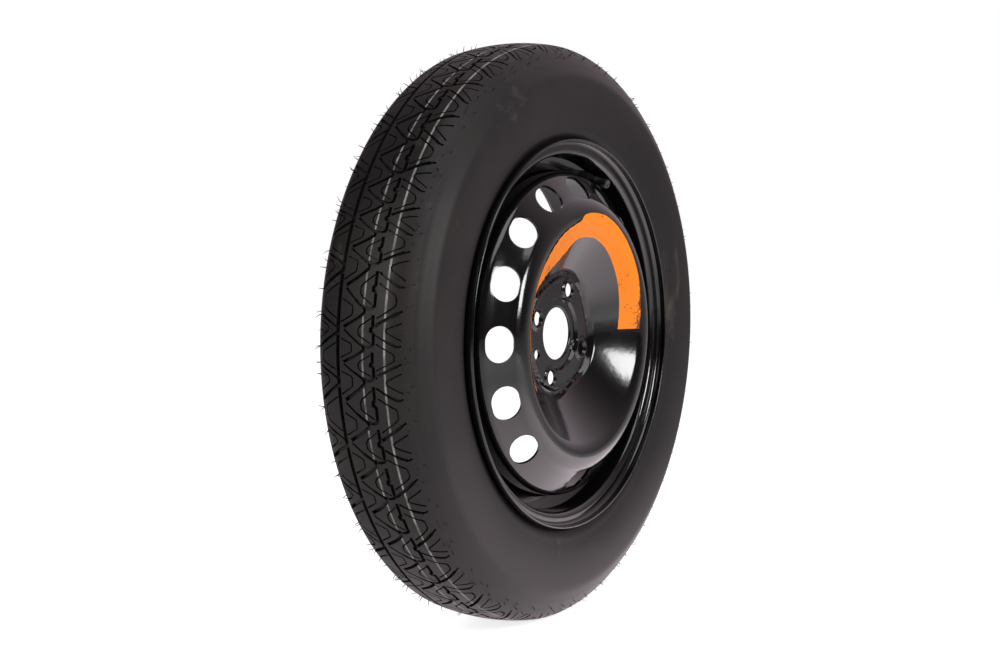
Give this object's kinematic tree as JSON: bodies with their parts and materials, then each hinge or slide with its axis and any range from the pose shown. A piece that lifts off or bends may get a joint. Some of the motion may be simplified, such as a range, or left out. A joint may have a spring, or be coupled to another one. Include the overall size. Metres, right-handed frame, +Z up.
{
  "type": "space saver spare wheel",
  "caption": "Narrow space saver spare tyre on a black pressed steel wheel with a dished disc, vent holes, hub bore, bolt holes and snap-in valve.",
  "frame": {"origin": "on the wheel's axle, in the plane of the face that meets the hub", "axes": "+Y along the axle towards the car, so the street side faces -Y; +Z up as the wheel stands; +X to the right as seen from the street side"},
  "size_m": [0.61, 0.1393, 0.61],
  "materials": {
    "tyre": "matt black rubber, lightly scuffed",
    "black_steel": "gloss black paint",
    "label": "orange printed film, creased",
    "rubber": "satin black rubber",
    "brass": "plain brass",
    "spring_steel": "bright wire",
    "seal": "red sealing ring",
    "cap": "satin black plastic"
  },
  "bodies": {
    "wheel": {"tyre": "tyre", "rim": "black_steel", "wheel_disc": "black_steel", "disc_welds": "black_steel", "label": "label", "valve_body": "rubber", "valve_stem": "brass", "core_plug": "brass", "core_barrel": "brass", "core_gasket": "seal", "core_spring": "spring_steel"},
    "core_valve": {"core_pin": "brass", "core_cup": "brass", "core_cup_seal": "rubber"},
    "cap_ring": {"cap_seal": "rubber"},
    "dust_cap": {"valve_cap": "cap"}
  },
  "joints": [
    {"name": "valve_pin_press", "type": "slide", "parent": "wheel", "child": "core_valve", "axis": [0.1024, 0.9613, 0.2559], "range_m": [0, 0.0012], "stiffness_N_per_m": 1500, "springref_m": -0.001, "deforming": ["core_spring"]},
    {"name": "cap_lift", "type": "slide", "parent": "wheel", "child": "cap_ring", "axis": [-0.1024, -0.9613, -0.2559], "range_m": [0, 0.00913]},
    {"name": "cap_turn", "type": "hinge", "parent": "cap_ring", "child": "dust_cap", "pos_m": [0.0637, -0.02632, 0.15925], "axis": [-0.1024, -0.9613, -0.2559], "range_deg": [0, 4140]}
  ],
  "couplings": [
    {"joint": "cap_turn", "follows": "cap_lift", "rad_per_m": 7913.3}
  ]
}
